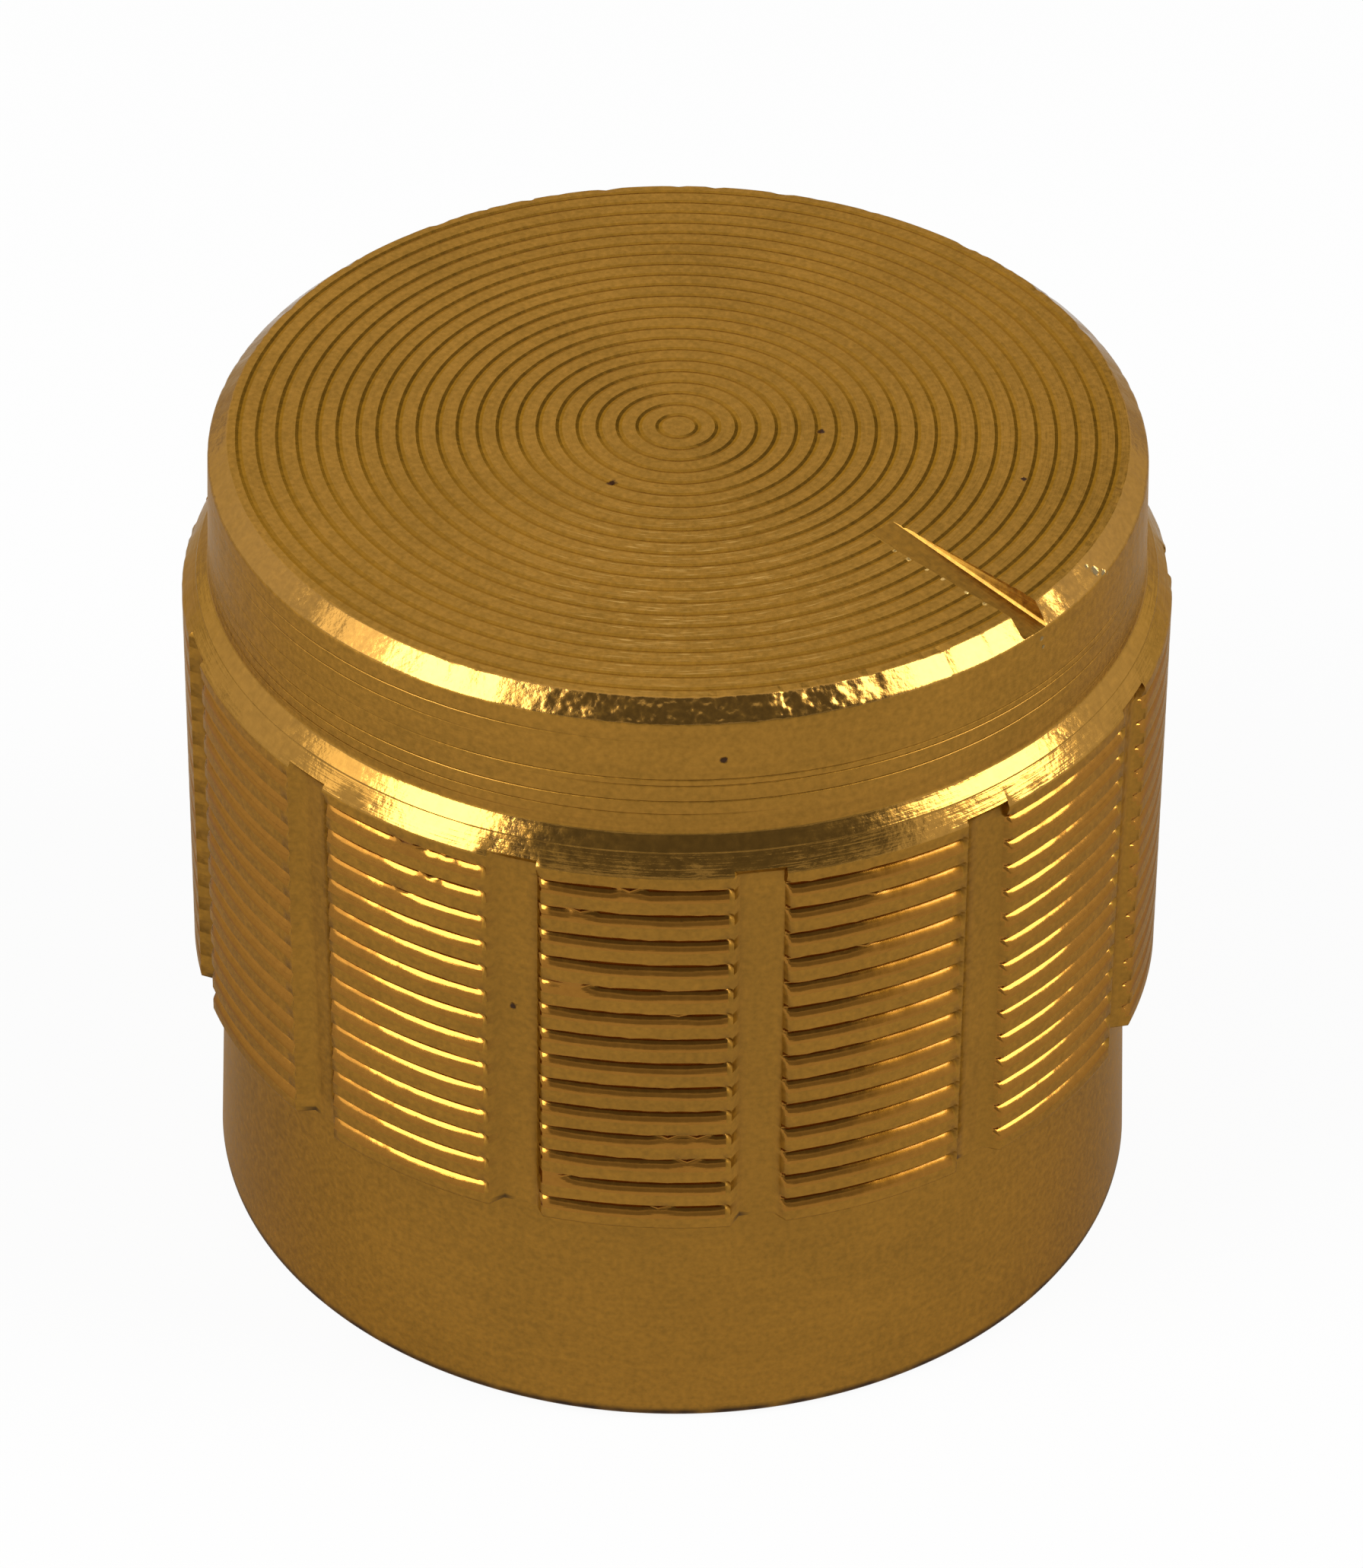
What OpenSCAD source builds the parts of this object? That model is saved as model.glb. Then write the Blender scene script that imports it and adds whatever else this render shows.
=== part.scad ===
// Push-on control knob for a 6 mm serrated shaft.
// A cap turned from aluminium bar holds a moulded insert that grips the shaft.
// Origin: centre of the open end, where the rim rests on the panel.
// +Z is the shaft's axis and +X is the side that the pointer notch faces.

/* [Cap heights] */
// height of the plain skirt below the grip
skirt_h = 4.65; // [2:0.05:8]
// height of the grooved grip
grip_h = 7.36; // [7.2:0.02:12]
// height of the bevel between the grip and the head
bevel_h = 0.57; // [0.3:0.01:1.2]
// height of the head, chamfer included
head_h = 2.42; // [1.6:0.02:5]

/* [Cap diameters] */
// largest diameter of the grip, at its lower edge
grip_d = 17; // [15.5:0.05:20]
// how much less the grip's radius is at its upper edge
grip_taper = 0.09; // [0:0.01:0.2]
// how far the head's base stands inside the grip's lower edge
head_step = 0.55; // [0.3:0.01:0.9]
// how much less the head's radius is below the chamfer
head_taper = 0.08; // [0:0.01:0.2]
// how far the skirt's rim stands inside the grip's lower edge
skirt_step = 0.32; // [0.1:0.01:0.7]
// how much less the skirt's radius is just below the grip
skirt_taper = 0.22; // [0:0.01:0.3]

/* [Cap edges] */
// radial width of the chamfer round the top face
face_chamfer_w = 0.33; // [0.1:0.01:0.6]
// height of the chamfer round the top face
face_chamfer_h = 0.31; // [0.1:0.01:0.6]
// size of the broken edge round the rim
rim_break = 0.12; // [0.05:0.01:0.3]

/* [Turned rings on the top face] */
// distance from one ring to the next
ring_pitch = 0.334; // [0.3:0.002:0.6]
// radius of the first ring
ring_first_r = 0.33; // [0.3:0.01:0.6]
// width of a ring's groove
ring_w = 0.12; // [0.06:0.01:0.2]
// depth of a ring's groove
ring_depth = 0.015; // [0.01:0.005:0.05]
// number of rings
ring_count = 22; // [4:1:22]

/* [Grip grooves] */
// number of grooves turned round the grip
groove_count = 14; // [4:1:14]
// distance from one groove to the next
groove_pitch = 0.512; // [0.4:0.002:0.526]
// width of a groove at the surface
groove_w = 0.29; // [0.16:0.01:0.34]
// depth of a groove
groove_depth = 0.12; // [0.04:0.01:0.16]
// width of a groove's floor
groove_floor_w = 0.03; // [0.02:0.01:0.06]
// height of a groove's upper flank, which is the steep one
groove_upper_h = 0.07; // [0.04:0.01:0.09]
// distance from the grip's upper edge to the first groove's middle
groove_start = 0.335; // [0.18:0.005:0.4]

/* [Grip slots] */
// number of upright slots that part the grip into panels
slot_count = 13; // [6:1:24]
// width of a slot at half its depth
slot_w = 0.75; // [0.4:0.01:1.3]
// how far each side of a slot comes in from the surface to the floor
slot_lean = 0.2; // [0:0.01:0.22]
// depth of a slot at the grip's lower edge
slot_depth = 0.27; // [0.14:0.01:0.45]
// depth of a slot near the grip's upper edge
slot_top_depth = 0.16; // [0.14:0.01:0.35]
// slope of a slot's upper end, in degrees from level
slot_end_slope = 54; // [30:1:80]
// how far a slot's floor stops short of the grip's upper edge
slot_end_drop = 0.05; // [0:0.01:0.2]
// turn of the slots from the pointer's direction, in degrees
slot_turn = -7; // [-15:0.1:15]

/* [Pointer notch] */
// width of the notch's floor
notch_w = 0.59; // [0.3:0.01:1.2]
// angle by which each side of the notch opens, in degrees
notch_flare = 2; // [0:1:30]
// distance from the axis to the notch's inner end
notch_start_r = 4.4; // [2:0.1:6.5]
// depth of the notch where it leaves the head
notch_depth = 0.32; // [0.15:0.01:0.6]
// how far the notch stands to one side of the axis
notch_side = 0.4; // [-0.6:0.02:0.6]

/* [Cavity and insert] */
// thinnest wall of the head round the cavity
wall_t = 0.97; // [0.7:0.01:1.4]
// thickness of the cap's top
top_t = 1.4; // [0.9:0.05:2]
// chamfer at the cavity's mouth
cavity_chamfer = 0.25; // [0.1:0.05:0.5]
// play between the pressed insert and the cavity's wall
press_play = 0; // [0:0.005:0.05]
// how far the insert's lower edge is set back from the rim
insert_setback = 0.5; // [0:0.1:2]
// thickness of the insert's sleeve
sleeve_t = 1.1; // [0.7:0.05:1.6]
// height of the nut recess above the rim
recess_h = 2.2; // [1:0.1:3.5]
// number of ribs between the hub and the sleeve
rib_count = 6; // [3:1:8]
// thickness of a rib
rib_t = 0.9; // [0.5:0.05:1.6]
// how far the ribs are set back from the hub's lower end
rib_setback = 0.3; // [0.1:0.05:2]

/* [Shaft hole] */
// diameter of the hole between its serrations
shaft_hole_d = 5.8; // [5.6:0.05:6.4]
// depth of the hole above the nut recess
shaft_hole_h = 10; // [6:0.1:10.5]
// lead-in chamfer at the hole's mouth
shaft_lead = 0.4; // [0.1:0.05:0.7]
// wall of the hub round the hole, at the hub's lower end
hub_t = 1.5; // [1:0.05:1.9]
// how much thicker the hub's wall is at its upper end
hub_draft = 0.12; // [0:0.01:0.2]
// number of serration grooves in the hole
spline_count = 18; // [6:1:24]
// width of a serration groove at the hole's wall
spline_w = 0.24; // [0.1:0.01:0.24]
// depth of a serration groove
spline_depth = 0.16; // [0.05:0.01:0.25]

/* [Hidden] */
$fn = 128;
eps = 0.01;

// Levels, from the rim upwards.
grip_z = skirt_h;
bevel_z = grip_z + grip_h;
head_z = bevel_z + bevel_h;
cap_h = head_z + head_h;
cavity_h = cap_h - top_t;

// Radii of the cap's profile.
grip_r = grip_d / 2;
grip_top_r = grip_r - grip_taper;
head_r = grip_r - head_step;
head_top_r = head_r - head_taper;
face_r = head_top_r - face_chamfer_w;
skirt_r = grip_r - skirt_step;
skirt_top_r = skirt_r - skirt_taper;
cavity_r = head_top_r - wall_t;

// Insert, from the cavity that holds it.
insert_r = cavity_r - press_play;
sleeve_r = insert_r - sleeve_t;
shaft_hole_r = shaft_hole_d / 2;
hub_r = shaft_hole_r + hub_t;
hub_top_r = hub_r + hub_draft;
hole_top_z = recess_h + shaft_hole_h;

aluminium_gold = [0.62, 0.44, 0.16];
plastic_black = [0.06, 0.06, 0.065];

// Outline of the solid cap, from the axis to the outside.
module cap_profile() {
    polygon([
        [0, 0],
        [skirt_r - rim_break, 0],
        [skirt_r, rim_break],
        [skirt_top_r, grip_z],
        [grip_r, grip_z],
        [grip_top_r, bevel_z],
        [head_r, head_z],
        [head_top_r, cap_h - face_chamfer_h],
        [face_r, cap_h],
        [0, cap_h]
    ]);
}

// Radius of the tapered grip at the height z.
function grip_r_at(z) = grip_r - grip_taper * (z - grip_z) / grip_h;

// One groove turned round the grip: steep above, easy below, with a narrow floor.
module grip_groove(z) {
    r = grip_r_at(z);
    out = 0.1;
    floor_top = z + groove_w / 2 - groove_upper_h;
    floor_low = floor_top - groove_floor_w;
    steep = groove_upper_h / groove_depth;
    easy = (groove_w - groove_upper_h - groove_floor_w) / groove_depth;
    rotate_extrude()
        polygon([
            [r - groove_depth, floor_low],
            [r + out, floor_low - easy * (groove_depth + out)],
            [r + out, floor_top + steep * (groove_depth + out)],
            [r - groove_depth, floor_top]
        ]);
}

// All grooves of the grip, kept apart so that they never touch the slots' tools.
module grip_grooves() {
    for (i = [0 : groove_count - 1])
        grip_groove(bevel_z - groove_start - i * groove_pitch);
}

// Side view of the tool that cuts a slot: a leaning floor and a sloped upper end.
module slot_profile() {
    low_r = grip_r - slot_depth;
    high_r = grip_top_r - slot_top_depth;
    out_r = grip_r + 1;
    floor_end = grip_h - slot_end_drop;
    polygon([
        [low_r, -eps],
        [out_r, -eps],
        [out_r, floor_end + (out_r - high_r) * tan(slot_end_slope)],
        [high_r, floor_end]
    ]);
}

// Plan of the tool that cuts a slot, with sides that lean.
module slot_plan() {
    lean = slot_lean / slot_depth;
    low = slot_depth + 0.05;
    high = 0.9;
    low_half = (slot_w + slot_lean) / 2 - lean * low;
    high_half = (slot_w + slot_lean) / 2 + lean * high;
    polygon([
        [grip_r - low, -low_half],
        [grip_r + high, -high_half],
        [grip_r + high, high_half],
        [grip_r - low, low_half]
    ]);
}

// Tool that cuts one slot, where its side view and its plan meet.
module slot_tool() {
    reach = slot_w + 4;
    intersection() {
        translate([0, reach / 2, grip_z])
            rotate([90, 0, 0])
                linear_extrude(height = reach)
                    slot_profile();
        translate([0, 0, grip_z - 1])
            linear_extrude(height = grip_h + 4)
                slot_plan();
    }
}

// Upright slots cut along the grip, open at the skirt and at the bevel.
module grip_slots() {
    for (i = [0 : slot_count - 1])
        rotate([0, 0, slot_turn + i * 360 / slot_count])
            slot_tool();
}

// One ring turned into the top face.
module face_ring(r) {
    rotate_extrude()
        polygon([
            [r - ring_w, cap_h + ring_depth],
            [r, cap_h - ring_depth],
            [r + ring_w, cap_h + ring_depth]
        ]);
}

// Concentric rings of the turned top face, all inside its flat.
module face_rings() {
    for (i = [0 : ring_count - 1]) {
        r = ring_first_r + i * ring_pitch;
        if (r + ring_w < face_r)
            face_ring(r);
    }
}

// Pointer notch: a flared channel that runs out at its inner end.
module pointer_notch() {
    run = head_top_r - notch_start_r;
    slope = atan(notch_depth / run);
    rise = 1;
    open_w = notch_w / 2 + rise * tan(notch_flare);
    translate([notch_start_r, notch_side, cap_h])
        rotate([0, slope, 0])
            rotate([90, 0, 90])
                linear_extrude(height = run + 2)
                    polygon([
                        [-notch_w / 2, 0],
                        [notch_w / 2, 0],
                        [open_w, rise],
                        [-open_w, rise]
                    ]);
}

// Blind cavity that the insert is pressed into.
module cavity() {
    translate([0, 0, -eps])
        cylinder(r = cavity_r, h = cavity_h + eps);
    translate([0, 0, -eps])
        cylinder(r1 = cavity_r + cavity_chamfer + eps, r2 = cavity_r, h = cavity_chamfer + eps);
}

// Cap turned from one bar, grooved, slotted and notched.
module cap() {
    color(aluminium_gold)
        difference() {
            rotate_extrude()
                cap_profile();
            cavity();
            grip_grooves();
            grip_slots();
            face_rings();
            pointer_notch();
        }
}

// Serrations of the shaft hole, one straight groove each.
module shaft_splines() {
    inner = shaft_hole_r - 0.1;
    side = spline_w / 2 / spline_depth;
    for (i = [0 : spline_count - 1])
        rotate([0, 0, i * 360 / spline_count])
            translate([0, 0, recess_h - eps])
                linear_extrude(height = shaft_hole_h + eps)
                    polygon([
                        [inner, -side * (spline_depth + 0.1)],
                        [shaft_hole_r + spline_depth, 0],
                        [inner, side * (spline_depth + 0.1)]
                    ]);
}

// Hole that takes the shaft, with its lead-in and serrations.
module shaft_hole() {
    translate([0, 0, recess_h - eps])
        cylinder(r = shaft_hole_r, h = shaft_hole_h + eps);
    translate([0, 0, recess_h - eps])
        cylinder(r1 = shaft_hole_r + shaft_lead + eps, r2 = shaft_hole_r, h = shaft_lead + eps);
    shaft_splines();
}

// Sleeve and web of the insert: a cup that opens towards the panel.
module insert_cup() {
    difference() {
        translate([0, 0, insert_setback])
            cylinder(r = insert_r, h = cavity_h - insert_setback);
        translate([0, 0, insert_setback - eps])
            cylinder(r = sleeve_r, h = hole_top_z - insert_setback + eps);
    }
}

// Hub before its hole is cut, sunk into the web.
module insert_hub() {
    sunk = 0.2;
    translate([0, 0, recess_h])
        cylinder(r1 = hub_r, r2 = hub_top_r, h = shaft_hole_h + sunk);
}

// One rib, sunk into the hub, the sleeve and the web.
module insert_rib() {
    sunk = 0.4;
    translate([hub_r - sunk, -rib_t / 2, recess_h + rib_setback])
        cube([sleeve_r - hub_r + 2 * sunk, rib_t, shaft_hole_h - rib_setback + sunk]);
}

// Moulded insert: sleeve, web, hub and ribs in one piece.
module shaft_insert() {
    color(plastic_black)
        difference() {
            union() {
                insert_cup();
                insert_hub();
                for (i = [0 : rib_count - 1])
                    rotate([0, 0, i * 360 / rib_count])
                        insert_rib();
            }
            shaft_hole();
        }
}

cap();
shaft_insert();
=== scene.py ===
"""Looks, studio and camera for a gold turned knob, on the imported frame.

Sizes are millimetres, as in the part's source, and become metres where a mesh,
a lamp or the camera is made. Directions in the studio are given from the camera:
azimuth 0 is straight behind it, positive to its right.
"""

import logging
import math
from dataclasses import dataclass, field
from enum import Enum, IntEnum
from typing import Any

import bmesh
import bpy
import numpy as np
from mathutils import Matrix, Vector, noise


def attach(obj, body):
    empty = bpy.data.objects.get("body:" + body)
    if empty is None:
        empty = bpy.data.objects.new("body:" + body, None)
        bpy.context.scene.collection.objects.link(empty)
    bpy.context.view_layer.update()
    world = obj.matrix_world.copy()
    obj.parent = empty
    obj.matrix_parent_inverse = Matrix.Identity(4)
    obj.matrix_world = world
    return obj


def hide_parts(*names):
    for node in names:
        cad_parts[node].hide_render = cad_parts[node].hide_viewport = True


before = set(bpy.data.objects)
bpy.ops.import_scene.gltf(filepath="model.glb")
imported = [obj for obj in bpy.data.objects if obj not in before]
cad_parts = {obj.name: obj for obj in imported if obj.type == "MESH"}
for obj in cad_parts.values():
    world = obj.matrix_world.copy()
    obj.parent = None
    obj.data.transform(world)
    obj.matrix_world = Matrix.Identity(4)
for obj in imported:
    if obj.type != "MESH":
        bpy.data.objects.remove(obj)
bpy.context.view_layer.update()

MM = 0.001
CAMERA_AZIMUTH = -44.5
LOG = logging.getLogger("knob")


class Zone(IntEnum):
    """Finishes of the cap, in the order of its material slots."""

    SATIN = 0
    FACE = 1
    CHAMFER = 2
    BEVEL = 3
    GROOVE = 4
    CAVITY = 5
    HEAD = 6
    RING = 7


class ToolPath(Enum):
    """Way in which the fine tool lines of a surface run."""

    ROUND_THE_SIDE = "side"
    ROUND_THE_FACE = "face"
    ALONG_THE_NOTCH = "notch"


class MarkKind(Enum):
    """What a small local mark shows."""

    PIT = "pit"
    BARE = "bare"
    GLINTING_BURR = "burr"


def linear(code: str) -> tuple[float, float, float, float]:
    """Turn an sRGB hex colour to a linear one.

    Args:
        code: Colour such as "#9b6b13".

    Returns:
        Red, green, blue and alpha, linear.
    """
    values = [int(code[i : i + 2], 16) / 255 for i in (1, 3, 5)]
    parts = [v / 12.92 if v <= 0.04045 else ((v + 0.055) / 1.055) ** 2.4 for v in values]
    return parts[0], parts[1], parts[2], 1.0


def add_node(
    tree: bpy.types.NodeTree,
    kind: str,
    settings: dict[str, Any] | None = None,
    inputs: dict[Any, Any] | None = None,
    links: dict[Any, bpy.types.NodeSocket] | None = None,
) -> bpy.types.Node:
    """Add a node to a tree, with its settings, socket values and links.

    Args:
        tree: Tree that takes the node.
        kind: Node's type name.
        settings: Properties of the node and their values.
        inputs: Input sockets, by name or number, and their values.
        links: Input sockets, by name or number, and the sockets that feed them.

    Returns:
        The new node.
    """
    node = tree.nodes.new(kind)
    for name, value in (settings or {}).items():
        setattr(node, name, value)
    for key, value in (inputs or {}).items():
        node.inputs[key].default_value = value
    for key, source in (links or {}).items():
        tree.links.new(source, node.inputs[key])
    return node


def round_axis(azimuth: float, radius: float, height: float) -> Vector:
    """Place a point round the axis, with its azimuth given from the camera.

    Args:
        azimuth: Degrees from the camera's side, positive to its right.
        radius: Distance from the axis.
        height: Height above the rim.

    Returns:
        The point in the row frame, in the unit of radius and height.
    """
    angle = math.radians(azimuth + CAMERA_AZIMUTH)
    return Vector((radius * math.cos(angle), radius * math.sin(angle), height))


def on_face(right: float, back: float, height: float = 15.0) -> Vector:
    """Place a point on the top face, with its offsets given as the camera sees them."""
    radius = math.hypot(right, back)
    return round_axis(math.degrees(math.atan2(right, -back)), radius, height)


def toward(azimuth: float, elevation: float) -> Vector:
    """Give the unit direction at an azimuth from the camera and an elevation."""
    e = math.radians(elevation)
    return round_axis(azimuth, math.cos(e), math.sin(e))


def plain_mesh(obj: bpy.types.Object) -> bpy.types.Mesh:
    """Turn an object's evaluated result into a mesh of its own.

    Args:
        obj: Object with live modifiers.

    Returns:
        A new mesh that no modifier feeds.
    """
    graph = bpy.context.evaluated_depsgraph_get()
    graph.update()
    return bpy.data.meshes.new_from_object(obj.evaluated_get(graph), depsgraph=graph)


@dataclass(frozen=True)
class Mark:
    """A pit, nick or rubbed spot at one place on the cap."""

    at: Vector
    size: float
    kind: MarkKind = MarkKind.PIT


@dataclass(frozen=True)
class AnodisedAluminium:
    """Gold-dyed anodised aluminium, as its last tool left it."""

    name: str
    path: ToolPath
    metal: str = "#9c6e1f"
    deep: str = "#835c16"
    roughness: float = 0.44
    roughness_spread: float = 0.06
    coat: float = 0.19
    coat_roughness: float = 0.3
    line_pitch: float = 0.1
    line_run: float = 5.0
    line_depth: float = 1.0
    grain_size: float = 0.12
    grain_depth: float = 2.0
    fleck_size: float = 0.5
    fleck_depth: float = 0.0
    fleck_at: Vector | None = None
    fleck_reach: float = 5.0
    scribed: tuple[float, ...] = ()
    scratch_glint_at: Vector | None = None
    scratch_glint_reach: float = 3.5
    marks: tuple[Mark, ...] = ()

    def build(self) -> bpy.types.Material:
        """Make the material.

        Returns:
            A node material named for the metal and how it was finished.
        """
        material = bpy.data.materials.new(self.name)
        material.use_nodes = True
        tree = material.node_tree
        tree.nodes.clear()
        place = add_node(tree, "ShaderNodeTexCoord")
        mm = add_node(tree, "ShaderNodeVectorMath", {"operation": "SCALE"}, {"Scale": 1000.0}, {0: place.outputs["Object"]})
        grain = self._noise(tree, mm.outputs[0], 1 / self.grain_size, 3.0)
        fleck = self._noise(tree, mm.outputs[0], 1 / self.fleck_size, 1.0)
        lines = self._noise(tree, self._line_place(tree, mm.outputs[0]), 1.0, 2.0)
        broad = self._noise(tree, mm.outputs[0], 0.45, 2.0)
        if self.fleck_at is not None:
            fleck = self._patch(tree, mm.outputs[0], fleck)
        height = self._weighted(tree, [(lines, self.line_depth), (grain, self.grain_depth), (fleck, self.fleck_depth)])
        tone = self._weighted(tree, [(grain, 0.6), (lines, 0.15), (broad, 0.25)])
        colour = add_node(
            tree, "ShaderNodeMix", {"data_type": "RGBA", "clamp_factor": True}, {6: linear(self.deep), 7: linear(self.metal)}, {0: self._stretch(tree, tone, 0.35, 0.65)}
        ).outputs[2]
        # Painted glints on rubbed scratches near the front of the face.
        if self.scratch_glint_at is not None:
            colour = self._paint_scratch_glints(tree, mm.outputs[0], colour)
        for z in self.scribed:
            mask = self._scribe(tree, mm.outputs[0], z)
            colour = add_node(
                tree, "ShaderNodeMix", {"data_type": "RGBA"}, {7: linear("#6d4a12")}, {0: self._stretch(tree, mask, 0.0, 6.0), 6: colour}
            ).outputs[2]
            cut = add_node(tree, "ShaderNodeMath", {"operation": "MULTIPLY_ADD"}, {1: -11.0}, {0: mask, 2: height})
            height = cut.outputs[0]
        # Pits are sunk and painted dark, bare spots painted grey; burrs are raised and painted light, a painted
        # highlight for their glints.
        for kind, hue, lift in ((MarkKind.PIT, "#38200a", -12.0), (MarkKind.BARE, "#84704a", -8.0), (MarkKind.GLINTING_BURR, "#d9b26a", 8.0)):
            mask = self._marks(tree, mm.outputs[0], grain, kind)
            if mask is not None:
                colour = add_node(tree, "ShaderNodeMix", {"data_type": "RGBA"}, {7: linear(hue)}, {0: mask, 6: colour}).outputs[2]
                depth = add_node(tree, "ShaderNodeMath", {"operation": "MULTIPLY"}, {1: lift}, {0: mask})
                height = add_node(tree, "ShaderNodeMath", {"operation": "ADD"}, {}, {0: height, 1: depth.outputs[0]}).outputs[0]
        # Painted shade: this attribute mixes the colour towards dark brown at the slots' feet and along the rim's
        # foot.
        painted_shade = add_node(tree, "ShaderNodeAttribute", {"attribute_name": "painted_shade"})
        colour = add_node(tree, "ShaderNodeMix", {"data_type": "RGBA"}, {7: linear("#1a0c02")}, {0: painted_shade.outputs["Fac"], 6: colour}).outputs[2]
        rough = add_node(
            tree,
            "ShaderNodeMapRange",
            {},
            {"From Min": 0.3, "From Max": 0.7, "To Min": self.roughness - self.roughness_spread, "To Max": self.roughness + self.roughness_spread},
            {"Value": grain},
        )
        dull = add_node(tree, "ShaderNodeAttribute", {"attribute_name": "dull"})
        rough = add_node(tree, "ShaderNodeMath", {"operation": "MULTIPLY_ADD"}, {1: 0.16}, {0: dull.outputs["Fac"], 2: rough.outputs[0]})
        bump = add_node(tree, "ShaderNodeBump", {}, {"Strength": 1.0, "Distance": 1e-6}, {"Height": height})
        shader = add_node(
            tree,
            "ShaderNodeBsdfPrincipled",
            {},
            {"Metallic": 1.0, "Specular Tint": linear("#ccb898"), "Coat Weight": self.coat, "Coat Roughness": self.coat_roughness, "Coat IOR": 1.6},
            {"Base Color": colour, "Roughness": rough.outputs[0], "Normal": bump.outputs[0], "Coat Normal": bump.outputs[0]},
        )
        add_node(tree, "ShaderNodeOutputMaterial", links={"Surface": shader.outputs[0]})
        return material

    def _noise(self, tree: bpy.types.NodeTree, place: bpy.types.NodeSocket, scale: float, detail: float) -> bpy.types.NodeSocket:
        """Add a noise pattern of one scale and give its value's socket."""
        return add_node(tree, "ShaderNodeTexNoise", {}, {"Scale": scale, "Detail": detail}, {"Vector": place}).outputs[0]

    def _line_place(self, tree: bpy.types.NodeTree, mm: bpy.types.NodeSocket) -> bpy.types.NodeSocket:
        """Squeeze the place across the tool's path, so that noise becomes lines.

        Args:
            tree: Material's tree.
            mm: Place in millimetres.

        Returns:
            Place whose noise has the lines' pitch and run.
        """
        run, pitch = 1 / self.line_run, 1 / self.line_pitch
        if self.path is ToolPath.ROUND_THE_FACE:
            flat = add_node(tree, "ShaderNodeVectorMath", {"operation": "MULTIPLY"}, {1: (1.0, 1.0, 0.0)}, {0: mm})
            radius = add_node(tree, "ShaderNodeVectorMath", {"operation": "LENGTH"}, {}, {0: flat.outputs[0]})
            up = add_node(tree, "ShaderNodeCombineXYZ", {}, {}, {"Z": radius.outputs["Value"]})
            mm = add_node(tree, "ShaderNodeVectorMath", {"operation": "ADD"}, {}, {0: flat.outputs[0], 1: up.outputs[0]}).outputs[0]
        scale = (run, pitch, pitch) if self.path is ToolPath.ALONG_THE_NOTCH else (run, run, pitch)
        return add_node(tree, "ShaderNodeVectorMath", {"operation": "MULTIPLY"}, {1: scale}, {0: mm}).outputs[0]

    def _weighted(self, tree: bpy.types.NodeTree, parts: list[tuple[bpy.types.NodeSocket, float]]) -> bpy.types.NodeSocket:
        """Add up values, each with its weight.

        Args:
            tree: Material's tree.
            parts: Sockets and weights.

        Returns:
            Socket of the sum.
        """
        total: bpy.types.NodeSocket | None = None
        for source, weight in parts:
            if weight == 0:
                continue
            step = add_node(tree, "ShaderNodeMath", {"operation": "MULTIPLY_ADD"}, {1: weight, 2: 0.0}, {0: source})
            if total is not None:
                tree.links.new(total, step.inputs[2])
            total = step.outputs[0]
        return total

    def _stretch(self, tree: bpy.types.NodeTree, value: bpy.types.NodeSocket, low: float, high: float) -> bpy.types.NodeSocket:
        """Stretch a value's range from low and high to 0 and 1."""
        return add_node(tree, "ShaderNodeMapRange", {}, {"From Min": low, "From Max": high}, {"Value": value}).outputs[0]

    def _paint_scratch_glints(self, tree: bpy.types.NodeTree, mm: bpy.types.NodeSocket, colour: bpy.types.NodeSocket) -> bpy.types.NodeSocket:
        """Paint short fine scratches lighter where the surface was rubbed, real scratches with painted glints on them,
        and give the new colour.
        """
        fine = add_node(tree, "ShaderNodeVectorMath", {"operation": "SCALE"}, {"Scale": 2.0}, {0: self._line_place(tree, mm)})
        cut = self._stretch(tree, self._noise(tree, fine.outputs[0], 1.0, 1.0), 0.58, 0.76)
        away = add_node(tree, "ShaderNodeVectorMath", {"operation": "DISTANCE"}, {1: tuple(self.scratch_glint_at)}, {0: mm})
        near = add_node(
            tree, "ShaderNodeMapRange", {}, {"From Min": self.scratch_glint_reach * 0.35, "From Max": self.scratch_glint_reach, "To Min": 1.0, "To Max": 0.0}, {"Value": away.outputs["Value"]}
        )
        mask = add_node(tree, "ShaderNodeMath", {"operation": "MULTIPLY"}, {}, {0: near.outputs[0], 1: cut})
        return add_node(tree, "ShaderNodeMix", {"data_type": "RGBA"}, {7: linear("#cda257")}, {0: mask.outputs[0], 6: colour}).outputs[2]

    def _scribe(self, tree: bpy.types.NodeTree, mm: bpy.types.NodeSocket, z: float) -> bpy.types.NodeSocket:
        """Mask a thin broken line round the side at a height in millimetres.

        Args:
            tree: Material's tree.
            mm: Place in millimetres.
            z: Height of the line above the rim.

        Returns:
            Socket of the mask.
        """
        parts = add_node(tree, "ShaderNodeSeparateXYZ", {}, {}, {0: mm})
        above = add_node(tree, "ShaderNodeMath", {"operation": "SUBTRACT"}, {1: z}, {0: parts.outputs[2]})
        away = add_node(tree, "ShaderNodeMath", {"operation": "ABSOLUTE"}, {}, {0: above.outputs[0]})
        near = add_node(tree, "ShaderNodeMapRange", {}, {"From Min": 0.003, "From Max": 0.016, "To Min": 1.0, "To Max": 0.0}, {"Value": away.outputs[0]})
        run = self._stretch(tree, self._noise(tree, self._line_place(tree, mm), 0.7, 1.0), 0.46, 0.64)
        return add_node(tree, "ShaderNodeMath", {"operation": "MULTIPLY"}, {}, {0: near.outputs[0], 1: run}).outputs[0]

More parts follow.
